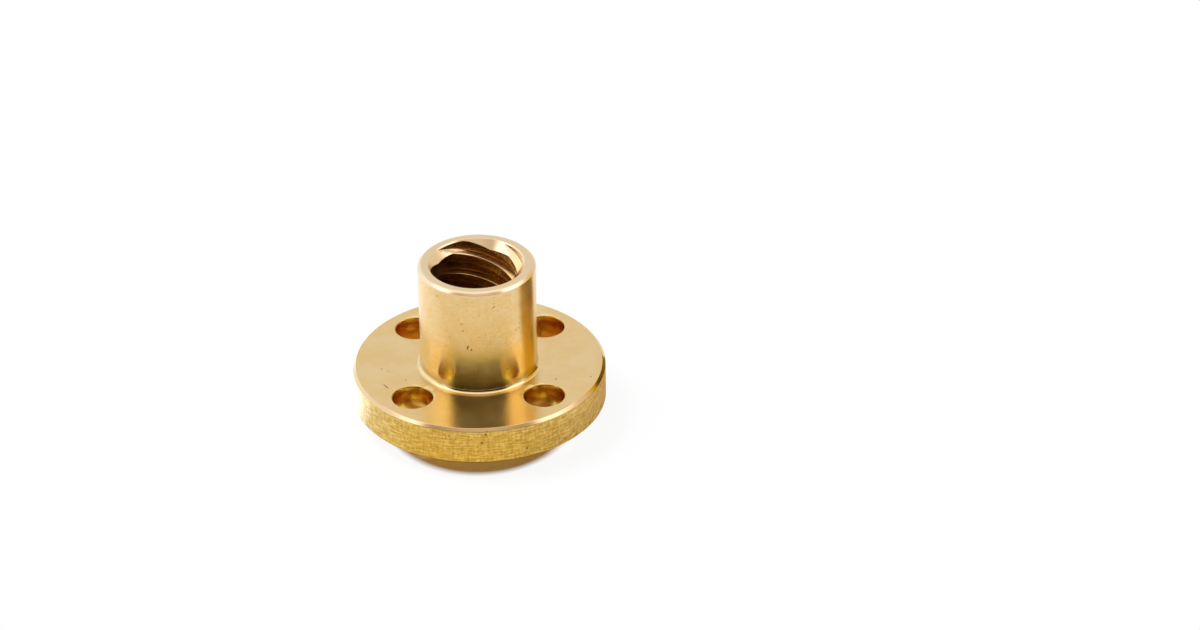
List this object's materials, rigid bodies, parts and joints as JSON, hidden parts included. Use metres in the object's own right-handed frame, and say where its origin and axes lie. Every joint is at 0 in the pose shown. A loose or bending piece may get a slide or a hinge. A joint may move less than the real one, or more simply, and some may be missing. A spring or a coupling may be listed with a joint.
{
  "type": "lead screw nut",
  "caption": "Round flanged nut turned from brass, with a long and a short boss, a coarse multi-start trapezoidal thread through it, and a bolt circle in the flange.",
  "frame": {"origin": "centre of the short boss's end face, on the screw axis; the nut stands on this face", "axes": "+Z along the screw axis, from the short boss to the long boss; the bolt holes lie at 45 degrees to X and Y"},
  "size_m": [0.022, 0.022, 0.015],
  "materials": {
    "brass": "machined, satin"
  },
  "bodies": {
    "root": {"lead_screw_nut": "brass"}
  },
  "joints": []
}
